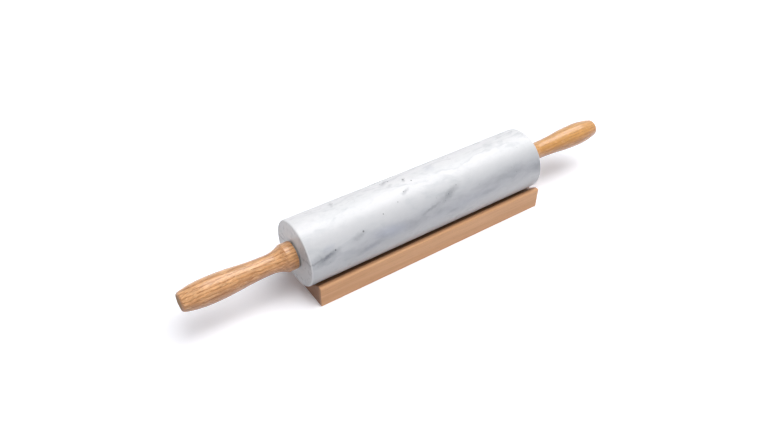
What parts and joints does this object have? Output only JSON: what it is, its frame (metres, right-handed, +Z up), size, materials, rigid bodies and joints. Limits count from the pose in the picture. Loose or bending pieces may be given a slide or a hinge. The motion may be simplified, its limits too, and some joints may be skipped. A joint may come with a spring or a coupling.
{
  "type": "marble rolling pin",
  "caption": "Marble rolling pin with turned wooden handles on a steel axle, resting in a grooved wooden cradle.",
  "frame": {"origin": "on the table, straight below the middle of the marble barrel", "axes": "+X along the pin towards the right handle, +Y across the pin, +Z up"},
  "size_m": [0.4548, 0.06, 0.0721],
  "materials": {
    "marble": "polished, soft grey veins",
    "cradle_wood": "satin, fine straight grain",
    "handle_wood": "gloss varnish over open lengthwise grain",
    "axle_steel": "drawn bright steel",
    "zinc_steel": "zinc plated",
    "bush_nylon": "natural nylon",
    "insert_brass": "machined"
  },
  "bodies": {
    "cradle": {"cradle": "cradle_wood"},
    "roller": {"marble_barrel": "marble", "left_bearing_bush": "bush_nylon", "right_bearing_bush": "bush_nylon"},
    "grip": {"axle_rod": "axle_steel", "left_thrust_washer": "zinc_steel", "right_thrust_washer": "zinc_steel", "left_lock_nut": "zinc_steel", "right_lock_nut": "zinc_steel", "left_handle_insert": "insert_brass", "right_handle_insert": "insert_brass", "left_handle": "handle_wood", "right_handle": "handle_wood"}
  },
  "joints": [
    {"name": "pin_lift", "type": "slide", "parent": "cradle", "child": "roller", "axis": [0, 0, 1], "range_m": [0, 0.1]},
    {"name": "handle_spin", "type": "hinge", "parent": "roller", "child": "grip", "pos_m": [0, 0, 0.04215], "axis": [1, 0, 0], "continuous": true}
  ]
}
